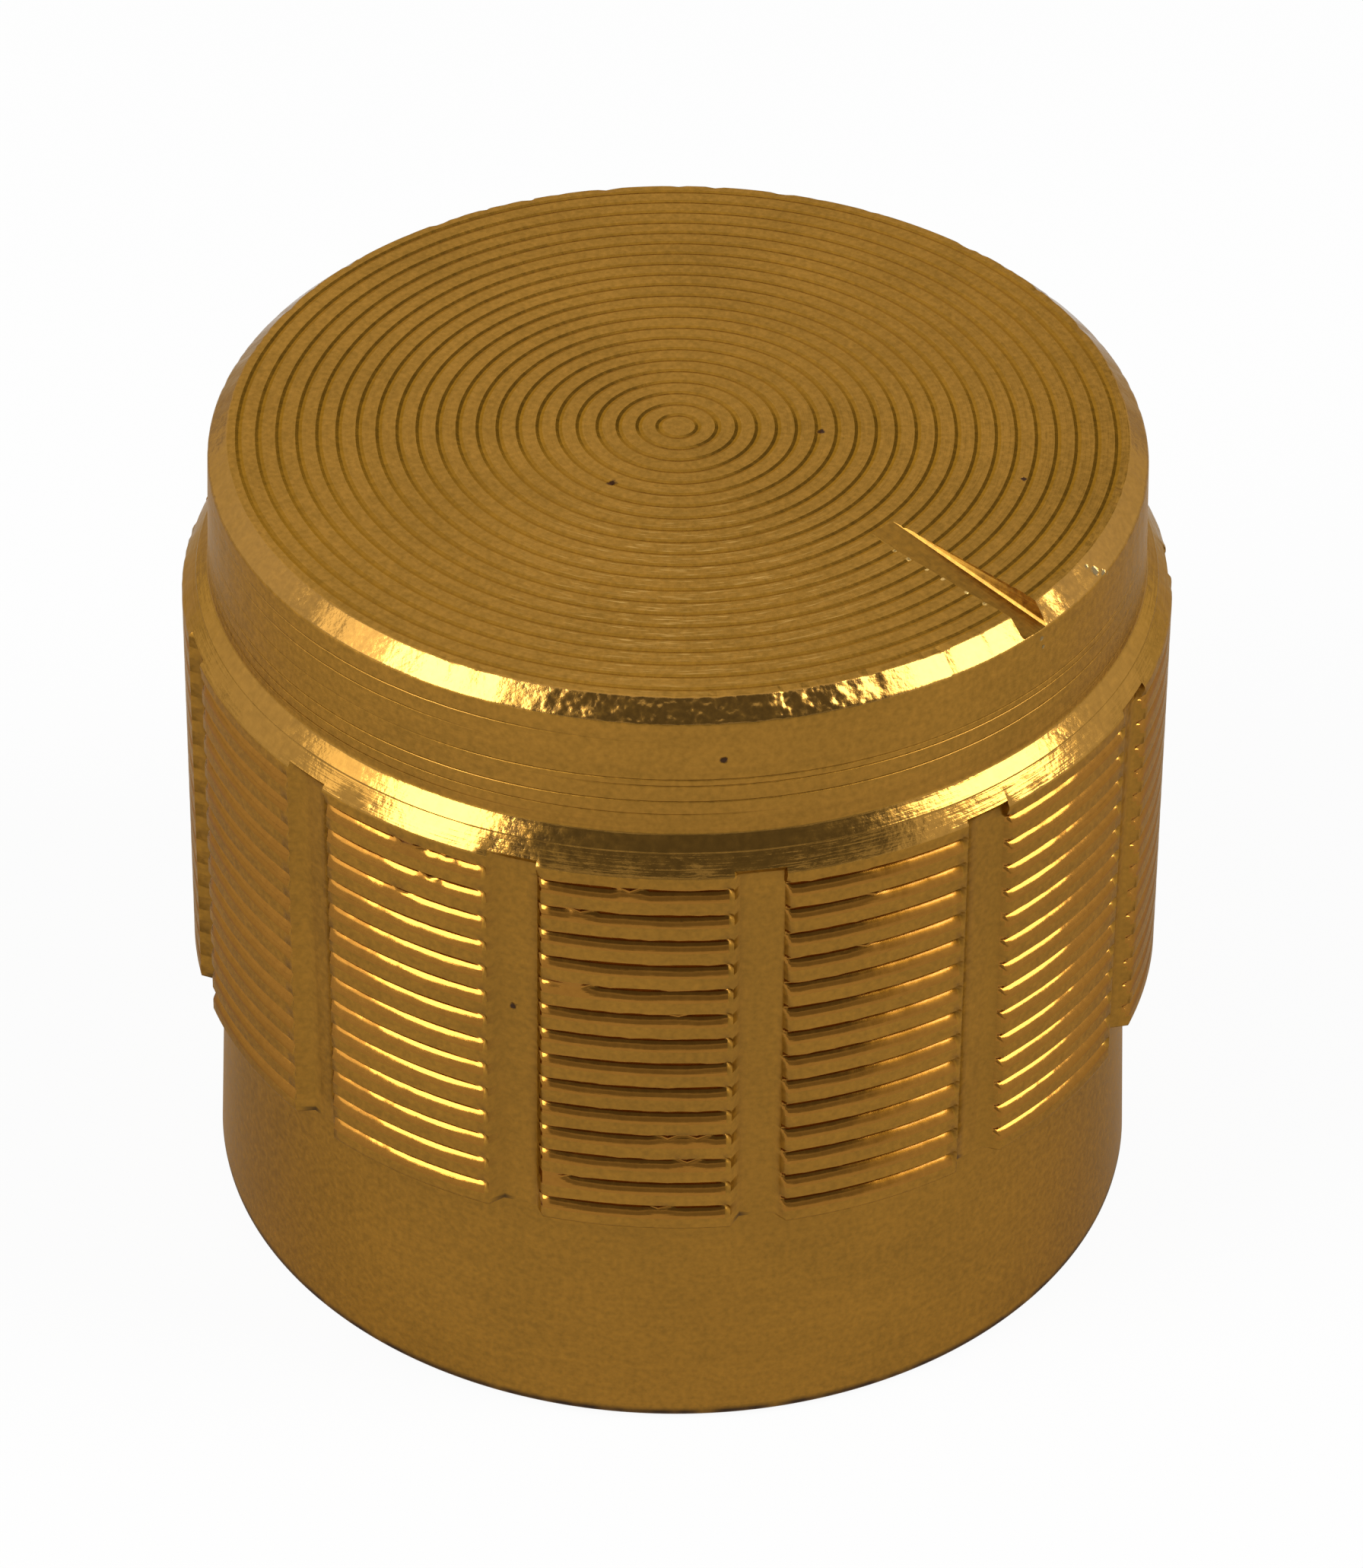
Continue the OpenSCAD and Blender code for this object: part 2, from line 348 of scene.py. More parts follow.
    def _patch(self, tree: bpy.types.NodeTree, mm: bpy.types.NodeSocket, value: bpy.types.NodeSocket) -> bpy.types.NodeSocket:
        """Keep a value near the knocked place only, and let it fade away from there."""
        away = add_node(tree, "ShaderNodeVectorMath", {"operation": "DISTANCE"}, {1: tuple(self.fleck_at)}, {0: mm})
        near = add_node(
            tree, "ShaderNodeMapRange", {}, {"From Min": self.fleck_reach * 0.6, "From Max": self.fleck_reach, "To Min": 1.0, "To Max": 0.06}, {"Value": away.outputs["Value"]}
        )
        return add_node(tree, "ShaderNodeMath", {"operation": "MULTIPLY"}, {}, {0: near.outputs[0], 1: value}).outputs[0]

    def _marks(
        self, tree: bpy.types.NodeTree, mm: bpy.types.NodeSocket, grain: bpy.types.NodeSocket, kind: MarkKind
    ) -> bpy.types.NodeSocket | None:
        """Mask the marks of one kind, with ragged edges.

        Args:
            tree: Material's tree.
            mm: Place in millimetres.
            grain: Noise that frays the edges.
            kind: Kind of mark.

        Returns:
            Socket of the mask, or None where the surface has no such mark.
        """
        mask: bpy.types.NodeSocket | None = None
        for mark in (m for m in self.marks if m.kind is kind):
            away = add_node(tree, "ShaderNodeVectorMath", {"operation": "DISTANCE"}, {1: tuple(mark.at)}, {0: mm})
            frayed = add_node(tree, "ShaderNodeMath", {"operation": "MULTIPLY_ADD"}, {1: mark.size * 1.6}, {0: grain, 2: away.outputs["Value"]})
            spot = add_node(
                tree, "ShaderNodeMapRange", {}, {"From Min": mark.size * 1.35, "From Max": mark.size * 1.85, "To Min": 1.0, "To Max": 0.0}, {"Value": frayed.outputs[0]}
            ).outputs[0]
            if mask is not None:
                spot = add_node(tree, "ShaderNodeMath", {"operation": "MAXIMUM"}, {}, {0: mask, 1: spot}).outputs[0]
            mask = spot
        return mask


@dataclass(frozen=True)
class MouldedPlastic:
    """Black filled nylon with the faint texture of a sparked mould."""

    name: str = "nylon_black_moulded"
    colour: str = "#1a1a1c"
    roughness: float = 0.48
    grain_size: float = 0.06
    grain_depth: float = 3.0

    def build(self) -> bpy.types.Material:
        """Make the material.

        Returns:
            A node material named for the plastic and its moulding.
        """
        material = bpy.data.materials.new(self.name)
        material.use_nodes = True
        tree = material.node_tree
        tree.nodes.clear()
        place = add_node(tree, "ShaderNodeTexCoord")
        mm = add_node(tree, "ShaderNodeVectorMath", {"operation": "SCALE"}, {"Scale": 1000.0}, {0: place.outputs["Object"]})
        grain = add_node(tree, "ShaderNodeTexNoise", {}, {"Scale": 1 / self.grain_size, "Detail": 3.0}, {"Vector": mm.outputs[0]})
        flow = add_node(tree, "ShaderNodeTexNoise", {}, {"Scale": 0.5, "Detail": 2.0}, {"Vector": mm.outputs[0]})
        colour = add_node(
            tree, "ShaderNodeMix", {"data_type": "RGBA"}, {6: linear("#141416"), 7: linear(self.colour)}, {0: flow.outputs[0]}
        )
        rough = add_node(
            tree, "ShaderNodeMapRange", {}, {"To Min": self.roughness - 0.08, "To Max": self.roughness + 0.08}, {"Value": grain.outputs[0]}
        )
        height = add_node(tree, "ShaderNodeMath", {"operation": "MULTIPLY"}, {1: self.grain_depth}, {0: grain.outputs[0]})
        bump = add_node(tree, "ShaderNodeBump", {}, {"Strength": 1.0, "Distance": 1e-6}, {"Height": height.outputs[0]})
        shader = add_node(
            tree,
            "ShaderNodeBsdfPrincipled",
            {},
            {"IOR": 1.53},
            {"Base Color": colour.outputs[2], "Roughness": rough.outputs[0], "Normal": bump.outputs[0]},
        )
        add_node(tree, "ShaderNodeOutputMaterial", links={"Surface": shader.outputs[0]})
        return material


@dataclass(frozen=True)
class Row:
    """One ring of the cap's outline; its finish is that of the strip that ends here."""

    r: float
    z: float
    zone: Zone
    cut: float = 0.0


@dataclass(frozen=True)
class Column:
    """One upright line of a sector; share is its place on a slot's floor, and along its place on a panel or wall."""

    share: float | None = None
    along: float = 0.0
    fill: float = 1.0
    drop: float = 0.0
    turn: int = 0


@dataclass(frozen=True)
class GrooveLoss:
    """A stretch of one groove that is filled or torn, with softened ends."""

    groove: int
    at: float
    half: float
    lost: float
    soft: float = 0.3


@dataclass
class TurnedCap:
    """The aluminium cap: face, chamfer, head, bevel, slotted grip, skirt and cavity."""

    skirt_h: float = 4.65
    grip_h: float = 7.36
    bevel_h: float = 0.57
    head_h: float = 2.42
    grip_r: float = 8.5
    grip_taper: float = 0.09
    head_r: float = 7.95
    head_top_r: float = 7.87
    skirt_r: float = 8.18
    skirt_top_r: float = 7.96
    chamfer_w: float = 0.33
    chamfer_h: float = 0.31
    rim_break: float = 0.12
    # Top of the rim's band of painted shade.
    rim_shade_top: float = 0.27
    ring_pitch: float = 0.334
    ring_first_r: float = 0.33
    ring_w: float = 0.11
    ring_depth: float = 0.014
    ring_count: int = 22
    groove_count: int = 14
    groove_pitch: float = 0.512
    groove_w: float = 0.29
    groove_depth: float = 0.12
    groove_start: float = 0.345
    slot_count: int = 13
    slot_w: float = 0.75
    slot_depth: float = 0.27
    slot_top_depth: float = 0.16
    slot_end_slope: float = 54.0
    slot_end_drop: float = 0.05
    slot_turn: float = -7.0
    slot_lean: float = 0.2
    notch_w: float = 0.59
    notch_lean: float = 17.0
    notch_facet: float = 0.05
    notch_start_r: float = 4.4
    notch_depth: float = 0.31
    notch_side: float = 0.4
    cavity_r: float = 6.9
    cavity_h: float = 13.6
    cavity_chamfer: float = 0.25
    panel_step: float = 0.17
    dulled: tuple[float, float, float] = (19.0, 42.0, 6.0)
    losses: tuple[GrooveLoss, ...] = (
        GrooveLoss(1, -5.0, 0.9, 0.9),
        GrooveLoss(2, -10.2, 1.0, 0.8),
        GrooveLoss(5, -12.9, 0.9, 0.7),
        GrooveLoss(5, -10.6, 1.4, 0.9),
        GrooveLoss(6, 0.4, 0.5, 0.5),
        GrooveLoss(11, -0.6, 0.9, 0.9),
        GrooveLoss(11, 2.7, 1.0, 0.9),
        GrooveLoss(12, 1.7, 0.7, 0.9),
        GrooveLoss(13, -14.2, 1.9, 1.0),
        GrooveLoss(14, -1.5, 0.7, 0.7),
        GrooveLoss(2, 22.5, 0.6, 0.7),
        GrooveLoss(4, 21.5, 0.6, 0.6),
        GrooveLoss(1, -30.5, 1.3, 0.9),
        GrooveLoss(1, -26.0, 1.0, 0.6),
        GrooveLoss(2, -28.0, 0.9, 0.8),
        GrooveLoss(3, -32.0, 0.8, 0.6),
        *(GrooveLoss(i, -18.0 - 0.8 * math.sin(i * 2.1), 9.0, 0.45, 9.0) for i in range(1, 15)),
    )
    finishes: dict[Zone, AnodisedAluminium] = field(default_factory=dict)

    @property
    def bevel_z(self) -> float:
        """Height of the grip's upper edge."""
        return self.skirt_h + self.grip_h

    @property
    def head_z(self) -> float:
        """Height of the head's lower end."""
        return self.bevel_z + self.bevel_h

    @property
    def cap_h(self) -> float:
        """Height of the top face."""
        return self.head_z + self.head_h

    @property
    def grip_top_r(self) -> float:
        """Radius of the grip at its upper edge."""
        return self.grip_r - self.grip_taper

    def grip_r_at(self, z: float) -> float:
        """Radius of the tapered grip at a height."""
        return self.grip_r - self.grip_taper * (z - self.skirt_h) / self.grip_h

    @property
    def slot_edge(self) -> float:
        """Offset of a slot's edge from its middle, at the grip's surface."""
        return (self.slot_w + self.slot_lean) / 2

    def slot_floor(self, z: float) -> float:
        """Distance of a slot's floor from the axis at a height.

        Args:
            z: Height above the rim.

        Returns:
            The distance, which grows quickly above the slot's upper end.
        """
        low, high = self.grip_r - self.slot_depth, self.grip_top_r - self.slot_top_depth
        end = self.bevel_z - self.slot_end_drop
        if z <= end:
            return low + (high - low) * (z - self.skirt_h) / (end - self.skirt_h)
        return high + (z - end) / math.tan(math.radians(self.slot_end_slope))

    def corner(self, before: Row, at: Row, after: Row, radius: float) -> list[Row]:
        """Round one corner of the outline and keep the flats beside it flat.

        Args:
            before: Outline's point before the corner.
            at: The corner.
            after: Outline's point after the corner.
            radius: Distance from the corner at which the rounding starts.

        Returns:
            Five rows that stand for the corner.
        """
        p = Vector((at.r, at.z))
        a = (Vector((before.r, before.z)) - p).normalized() * radius
        b = (Vector((after.r, after.z)) - p).normalized() * radius
        middle = p + (a + b) / 4
        points = [(p + 2 * a, at.zone), (p + a, at.zone), (middle, at.zone), (p + b, after.zone), (p + 2 * b, after.zone)]
        return [Row(v.x, v.y, zone) for v, zone in points]

    def rings(self) -> list[Row]:
        """Rows of the turned rings, from the centre outwards."""
        rows = []
        for i in range(self.ring_count):
            r = self.ring_first_r + i * self.ring_pitch
            rows += [
                Row(r - self.ring_w / 2, self.cap_h, Zone.FACE),
                Row(r, self.cap_h - self.ring_depth, Zone.RING),
                Row(r + self.ring_w / 2, self.cap_h, Zone.RING),
            ]
        return rows

    def grooves(self) -> list[Row]:
        """Rows of the grip's grooves: steep above, rounded over below."""
        section = ((0.0, 0.0), (0.14, 0.55), (0.25, 1.0), (0.35, 1.0), (0.42, 0.7), (0.62, 0.36), (0.78, 0.14), (0.92, 0.03), (1.0, 0.0))
        rows = []
        for i in range(self.groove_count):
            middle = self.bevel_z - self.groove_start - i * self.groove_pitch
            for down, share in section:
                z = middle + (0.5 - down) * self.groove_w
                rows.append(Row(self.grip_r_at(z), z, Zone.SATIN if down == 0.0 else Zone.GROOVE, self.groove_depth * share))
        foot = self.skirt_h + 0.12
        return [*rows, Row(self.grip_r_at(foot), foot, Zone.SATIN)]

    def outline(self) -> list[Row]:
        """Go round half the cap's section, from the face's middle to the cavity's roof.

        Returns:
            Rows in order, with rounded corners.
        """
        corners = [
            (Row(self.head_top_r - self.chamfer_w, self.cap_h, Zone.FACE), 0.02),
            (Row(self.head_top_r, self.cap_h - self.chamfer_h, Zone.CHAMFER), 0.03),
            (Row(self.head_r, self.head_z, Zone.HEAD), 0.03),
            (Row(self.head_r + 0.207, self.head_z - 0.222, Zone.BEVEL), 0.006),
            (Row(self.head_r + 0.212, self.head_z - 0.24, Zone.BEVEL), 0.006),
            (Row(self.grip_top_r, self.bevel_z, Zone.BEVEL), 0.03),
            (Row(self.grip_r, self.skirt_h, Zone.SATIN), 0.03),
            (Row(self.skirt_top_r, self.skirt_h, Zone.SATIN), 0.03),
            (Row(self.skirt_r, self.rim_break, Zone.SATIN), 0.05),
            (Row(self.skirt_r - self.rim_break, 0.0, Zone.CHAMFER), 0.02),
            (Row(self.cavity_r + self.cavity_chamfer, 0.0, Zone.SATIN), 0.03),
            (Row(self.cavity_r, self.cavity_chamfer, Zone.CAVITY), 0.0),
            (Row(self.cavity_r, self.cavity_h, Zone.CAVITY), 0.0),
            (Row(0.0, self.cavity_h, Zone.CAVITY), 0.0),
        ]
        rows = [Row(0.0, self.cap_h, Zone.FACE), *self.rings()]
        for i, (at, radius) in enumerate(corners):
            before = corners[i - 1][0] if i else rows[-1]
            if i == 5:
                rise = self.slot_breakout() - self.bevel_z
                rows.append(Row(self.grip_top_r - rise * self.head_lean(), self.bevel_z + rise, Zone.BEVEL))
            if i == 6:
                rows += self.grooves()
            # Extra ring that bounds the rim's band of painted shade.
            if i == 8:
                rise = (self.rim_shade_top - self.rim_break) / (self.skirt_h - self.rim_break)
                rows.append(Row(self.skirt_r + (self.skirt_top_r - self.skirt_r) * rise, self.rim_shade_top, Zone.SATIN))
            if radius > 0:
                rows += self.corner(before, at, corners[i + 1][0], radius)
            else:
                rows.append(at)
        return rows

    def head_lean(self) -> float:
        """How far the lower bevel goes inwards for each unit of its height."""
        return (self.grip_top_r - self.head_r - 0.212) / (self.bevel_h - 0.24)

    def slot_breakout(self) -> float:
        """Height at which a slot's sloped end leaves the bevel."""
        spread = 1 / math.tan(math.radians(self.slot_end_slope))
        end = self.bevel_z - self.slot_end_drop
        high = self.grip_top_r - self.slot_top_depth
        return (self.grip_top_r + self.head_lean() * self.bevel_z - high + spread * end) / (spread + self.head_lean())

    def columns(self) -> list[Column]:
        """Lay out one sector: a slot, the panel to its right, and the next slot's wall.

        Returns:
            Columns by growing azimuth.
        """
        half = self.slot_edge
        columns = [Column(share=t) for t in (-1.0, -1 / 3, 1 / 3, 1.0)]
        width = (2 * math.pi / self.slot_count - 2 * math.asin(half / self.grip_r)) * self.grip_r
        wall = [(self.slot_lean * d / self.slot_depth, d) for d in (self.groove_depth, self.groove_depth / 2)]
        count = round(width / self.panel_step)
        columns += [Column(along=-a, drop=d) for a, d in wall]
        columns += [Column(along=(width - 0.085) * i / count) for i in range(count + 1)]
        columns += [Column(along=width - 0.04, fill=0.62), Column(along=width, fill=0.0)]
        return [*columns, Column(share=-1.0, turn=1)]

    def place(self, row: Row, column: Column) -> tuple[Vector, float]:
        """Find where a row crosses a column.

        Args:
            row: Row of the outline.
            column: Column of the sector.

        Returns:
            The point, and how far it lies below the uncut surface.
        """
        turn = 2 * math.pi / self.slot_count * column.turn
        slotted = self.skirt_h - 1e-6 <= row.z <= self.slot_breakout() + 0.001 and row.r > self.skirt_top_r + 0.1
        bed = self.slot_floor(row.z)
        if column.share is not None:
            deep = min(1.0, max(0.0, (row.r - bed) / self.slot_depth)) if slotted else 1.0
            side = column.share * (self.slot_edge - self.slot_lean * deep)
            if slotted:
                x = min(math.sqrt(row.r * row.r - side * side), bed)
                return Matrix.Rotation(turn, 3, "Z") @ Vector((x, side, row.z)), 0.0
            r, angle, cut = row.r, math.asin(side / self.grip_r) + turn, 0.0
        else:
            drop = column.drop * min(1.0, max(0.0, (self.bevel_z - 0.1 - row.z) / 0.2)) if slotted else 0.0
            cut = max(0.0, row.cut * column.fill - drop)
            r, angle = row.r - cut - drop, math.asin(self.slot_edge / self.grip_r) + column.along / self.grip_r
        return Vector((r * math.cos(angle), r * math.sin(angle), row.z)), cut

    def sector(self) -> bpy.types.Object:
        """Build one slot and its panel, all the way from the face to the cavity.

        Returns:
            Object whose mesh holds the sector, with its finishes as an attribute.
        """
        rows, columns = self.outline(), self.columns()
        index: dict[tuple[int, int, int], int] = {}
        points: list[Vector] = []
        cuts: list[float] = []
        painted_shade: list[float] = []

        def vertex(row: Row, column: Column) -> int:
            """Number of the vertex at a row and column, made once for each place."""
            point, cut = self.place(row, column)
            key = (round(point.x * 1e5), round(point.y * 1e5), round(point.z * 1e5))
            if key not in index:
                index[key] = len(points)
                points.append(point * MM)
                cuts.append(cut)
                # Painted shadow: the foot of each slot's far wall is painted dark, where the panel's ledge casts its
                # shadow.
                foot = column.share == -1.0 and self.skirt_h <= row.z < self.skirt_h + 0.07 and row.r > self.grip_r - 0.1
                painted_shade.append(0.8 if foot else 0.0)
            return index[key]

        grid = [[vertex(row, column) for column in columns] for row in rows]
        faces, zones = [], []
        for i in range(len(rows) - 1):
            strip = rows[i + 1]
            for j in range(len(columns) - 1):
                loop = [grid[i][j], grid[i + 1][j], grid[i + 1][j + 1], grid[i][j + 1]]
                loop = [v for k, v in enumerate(loop) if v != loop[k - 1]]
                if len(loop) < 3 or len(set(loop)) < 3:
                    continue
                faces.append(loop)
                zones.append(self.strip_zone(strip, columns[j], columns[j + 1], any(cuts[v] > 0 for v in loop)))
        mesh = bpy.data.meshes.new("cap_sector")
        mesh.from_pydata(points, [], faces)
        mesh.attributes.new("zone", "INT", "FACE").data.foreach_set("value", zones)
        mesh.attributes.new("cut", "FLOAT", "POINT").data.foreach_set("value", cuts)
        mesh.attributes.new("painted_shade", "FLOAT", "POINT").data.foreach_set("value", painted_shade)
        obj = bpy.data.objects.new("cap_sector", mesh)
        bpy.context.scene.collection.objects.link(obj)
        return obj

    def strip_zone(self, strip: Row, left: Column, right: Column, cut: bool) -> int:
        """Choose the finish of one face of a strip.

        Args:
            strip: Row in which the strip ends.
            left: Face's left column.
            right: Face's right column.
            cut: Whether a groove reaches the face.

        Returns:
            Number of the finish.
        """
        in_slot = left.share is not None or right.share is not None
        if strip.zone is Zone.GROOVE and (in_slot or not cut or right.fill < 1.0):
            return int(Zone.SATIN)
        if strip.zone is Zone.BEVEL and in_slot and strip.z < self.slot_breakout():
            return int(Zone.SATIN)
        return int(strip.zone)

    def array_tree(self) -> bpy.types.GeometryNodeTree:
        """Make the node tree that repeats the sector round the axis.

        Returns:
            Tree that turns copies, joins them and gives each finish its material.
        """
        tree = bpy.data.node_groups.new("sectors_round_the_axis", "GeometryNodeTree")
        face = tree.interface
        face.new_socket("Sector", in_out="INPUT", socket_type="NodeSocketGeometry")
        face.new_socket("Slots", in_out="INPUT", socket_type="NodeSocketInt")
        face.new_socket("First slot", in_out="INPUT", socket_type="NodeSocketFloat")
        face.new_socket("Weld", in_out="INPUT", socket_type="NodeSocketFloat")
        face.new_socket("Cap", in_out="OUTPUT", socket_type="NodeSocketGeometry")
        given = add_node(tree, "NodeGroupInput")
        points = add_node(tree, "GeometryNodePoints", links={"Count": given.outputs["Slots"]})
        number = add_node(tree, "GeometryNodeInputIndex")
        step = add_node(tree, "ShaderNodeMath", {"operation": "DIVIDE"}, {0: 2 * math.pi}, {1: given.outputs["Slots"]})
        turn = add_node(
            tree, "ShaderNodeMath", {"operation": "MULTIPLY_ADD"}, {}, {0: number.outputs[0], 1: step.outputs[0], 2: given.outputs["First slot"]}
        )
        euler = add_node(tree, "ShaderNodeCombineXYZ", links={"Z": turn.outputs[0]})
        rotation = add_node(tree, "FunctionNodeEulerToRotation", links={0: euler.outputs[0]})
        copies = add_node(
            tree,
            "GeometryNodeInstanceOnPoints",
            links={"Points": points.outputs[0], "Instance": given.outputs["Sector"], "Rotation": rotation.outputs[0]},
        )
        real = add_node(tree, "GeometryNodeRealizeInstances", links={"Geometry": copies.outputs[0]})
        whole = add_node(tree, "GeometryNodeMergeByDistance", links={"Geometry": real.outputs[0], "Distance": given.outputs["Weld"]})
        zone = add_node(tree, "GeometryNodeInputNamedAttribute", {"data_type": "INT"}, {"Name": "zone"})
        last = whole.outputs[0]
        for kind, finish in self.finishes.items():
            same = add_node(
                tree, "FunctionNodeCompare", {"data_type": "INT", "operation": "EQUAL"}, {"B": int(kind)}, {"A": zone.outputs["Attribute"]}
            )
            last = add_node(
                tree, "GeometryNodeSetMaterial", {}, {"Material": bpy.data.materials[finish.name]}, {"Geometry": last, "Selection": same.outputs[0]}
            ).outputs[0]
        add_node(tree, "NodeGroupOutput", links={"Cap": last})
        return tree

    def revolve(self) -> bpy.types.Object:
        """Repeat the sector round the axis.

        Returns:
            Object with a plain mesh of the whole cap, without its notch.
        """
        sector = self.sector()
        modifier = sector.modifiers.new("array", "NODES")
        modifier.node_group = self.array_tree()
        sockets = {s.name: s.identifier for s in modifier.node_group.interface.items_tree if s.in_out == "INPUT"}
        modifier[sockets["Slots"]] = self.slot_count
        modifier[sockets["First slot"]] = math.radians(self.slot_turn)
        modifier[sockets["Weld"]] = 2e-7
        mesh = plain_mesh(sector)
        mesh.name = "cap_turned"
        sector.modifiers.remove(modifier)
        bpy.data.objects.remove(sector)
        cap = bpy.data.objects.new("turned_cap", mesh)
        bpy.context.scene.collection.objects.link(cap)
        return cap

    def wear(self, mesh: bpy.types.Mesh) -> None:
        """Make the grooves uneven and fill the stretches that are torn.

        Args:
            mesh: The cap's mesh, with its cut attribute.
        """
        count = len(mesh.vertices)
        points, cuts = np.zeros(count * 3), np.zeros(count)
        mesh.vertices.foreach_get("co", points)
        mesh.attributes["cut"].data.foreach_get("value", cuts)
        points = points.reshape(-1, 3)
        radius = np.hypot(points[:, 0], points[:, 1])
        azimuth = np.degrees(np.arctan2(points[:, 1], points[:, 0])) - CAMERA_AZIMUTH
        azimuth = (azimuth + 180) % 360 - 180
        number = (self.bevel_z - self.groove_start - points[:, 2] / MM) / self.groove_pitch + 1
        lost = np.zeros(count)
        for v in np.flatnonzero(cuts > 0):
            seed = Vector((azimuth[v] * 0.55, round(number[v]) * 7.3, 0.0))
            lost[v] = max(0.0, 0.1 + 0.28 * noise.noise(seed))
        for loss in self.losses:
            near = np.abs(number - loss.groove) < 0.3
            share = np.clip((loss.half - np.abs(azimuth[near] - loss.at)) / loss.soft, 0.0, 1.0)
            lost[near] = np.maximum(lost[near], loss.lost * share)
        grown = (radius + cuts * MM * lost * (cuts > 0)) / np.maximum(radius, 1e-9)
        points[:, :2] *= grown[:, None]
        for r, z, depth in (
            (self.head_top_r - self.chamfer_w, self.cap_h, 0.035),
            (self.head_top_r, self.cap_h - self.chamfer_h, 0.02),
            (self.grip_top_r, self.bevel_z, 0.03),
        ):
            near = (np.abs(radius / MM - r) < 0.065) & (np.abs(points[:, 2] / MM - z) < 0.065)
            for v in np.flatnonzero(near):
                dent = max(0.0, noise.noise(Vector((azimuth[v] * 0.9, r, 0.0))) * 1.6 - 0.1) * depth
                points[v] *= 1 - dent * MM / np.linalg.norm(points[v])
        painted_shade = np.zeros(count)
        mesh.attributes["painted_shade"].data.foreach_get("value", painted_shade)
        # Painted shade: a ragged dark band along the rim's foot, where the floor's contact shadow is reflected.
        for v in np.flatnonzero((points[:, 2] < 0.24 * MM) & (radius > (self.skirt_r - 0.2) * MM)):
            fade = 1.0 if points[v, 2] < 0.19 * MM else 0.45
            painted_shade[v] = fade * min(0.95, max(0.3, 0.8 + 0.9 * noise.noise(Vector((azimuth[v] * 0.35, 4.0, 0.0)))))
        mesh.attributes["painted_shade"].data.foreach_set("value", painted_shade)
        mesh.vertices.foreach_set("co", points.ravel())
        mesh.update()
        ends = np.clip(np.minimum(azimuth - self.dulled[0], self.dulled[1] - azimuth) / self.dulled[2], 0.0, 1.0)
        mesh.attributes.new("dull", "FLOAT", "POINT").data.foreach_set("value", ends * (cuts > 0))

    def notch_cutter(self, wall: bpy.types.Material, floor: bpy.types.Material) -> bpy.types.Object:
        """Make the tool that cuts the pointer notch.

        Args:
            wall: Finish of the facet and the near wall.
            floor: Finish of the floor and the leaning wall.

        Returns:
            Object of a bar whose far side leans and has a facet at its foot.
        """
        run = self.head_top_r - self.notch_start_r
        slope = math.atan(self.notch_depth / run)
        ahead, up = Vector((math.cos(slope), 0, -math.sin(slope))), Vector((math.sin(slope), 0, math.cos(slope)))
        half, near, lean, tilt = self.notch_w / 2, 0.05, math.radians(self.notch_lean), math.radians(50.0)
        left = [(-half - 0.03 + near * (1 - math.sin(a)), near * (1 - math.cos(a))) for a in (math.pi * i / 8 for i in range(4, -1, -1))]
        high, foot = self.notch_facet * math.sin(tilt), half - self.notch_facet
        right = [(foot - self.notch_facet * math.cos(tilt), 0.0), (foot, high), (foot + (1 - high) * math.tan(lean), 1.0)]
        section = [(-half - 0.03, 1.0), *left, *right]
        start = Vector((self.notch_start_r, self.notch_side, self.cap_h))
        points = [(start + ahead * t + up * h + Vector((0, y, 0))) * MM for t in (0.0, run + 2) for y, h in section]
        n = len(section)
        faces = [[i, (i + 1) % n, n + (i + 1) % n, n + i] for i in range(n)] + [list(range(n)), list(range(2 * n - 1, n - 1, -1))]
        mesh = bpy.data.meshes.new("notch_cutter")
        mesh.from_pydata(points, [], faces)
        mesh.materials.append(wall)
        mesh.materials.append(floor)
        mesh.polygons[len(left)].material_index = mesh.polygons[len(left) + 2].material_index = 1
        shape = bmesh.new()
        shape.from_mesh(mesh)
        bmesh.ops.recalc_face_normals(shape, faces=shape.faces)
        shape.to_mesh(mesh)
        shape.free()
        obj = bpy.data.objects.new("notch_cutter", mesh)
        bpy.context.scene.collection.objects.link(obj)
        return obj

    def cut_notch(self, cap: bpy.types.Object, cutter: bpy.types.Object) -> None:
        """Cut the pointer notch into the cap and leave a plain mesh.

        Args:
            cap: The cap's object.
            cutter: The notch's tool, which is used up.
        """
        modifier = cap.modifiers.new("notch", "BOOLEAN")
        modifier.operation = "DIFFERENCE"
        modifier.solver = "EXACT"
        modifier.material_mode = "TRANSFER"
        modifier.object = cutter
        mesh = plain_mesh(cap)
        mesh.name = "cap_notched"
        cap.modifiers.remove(modifier)
        cap.data = mesh
        bpy.data.objects.remove(cutter)

    def shade(self, mesh: bpy.types.Mesh) -> None:
        """Smooth the faces and keep real edges crisp.

        Args:
            mesh: The cap's finished mesh.
        """
        shape = bmesh.new()
        shape.from_mesh(mesh)
        names = [m.name if m else "" for m in mesh.materials]
        satin = names.index(self.finishes[Zone.SATIN].name)
        flat = {i for i, n in enumerate(names) if n in (self.finishes[Zone.FACE].name, self.finishes[Zone.RING].name)}
        for f in shape.faces:
            f.smooth = True
        for e in shape.edges:
            if len(e.link_faces) != 2:
                continue
            limit = 8.0 if all(f.material_index in flat for f in e.link_faces) else 42.0
            if all(f.material_index == satin for f in e.link_faces):
                limit = 62.0
            e.smooth = e.calc_face_angle(0.0) < math.radians(limit)
        shape.to_mesh(mesh)
        shape.free()

    def build(self) -> bpy.types.Object:
        """Make the cap and put it in place of its solid.

        Returns:
            The finished piece.
        """
        for finish in self.finishes.values():
            finish.build()
        cap = self.revolve()
        self.wear(cap.data)
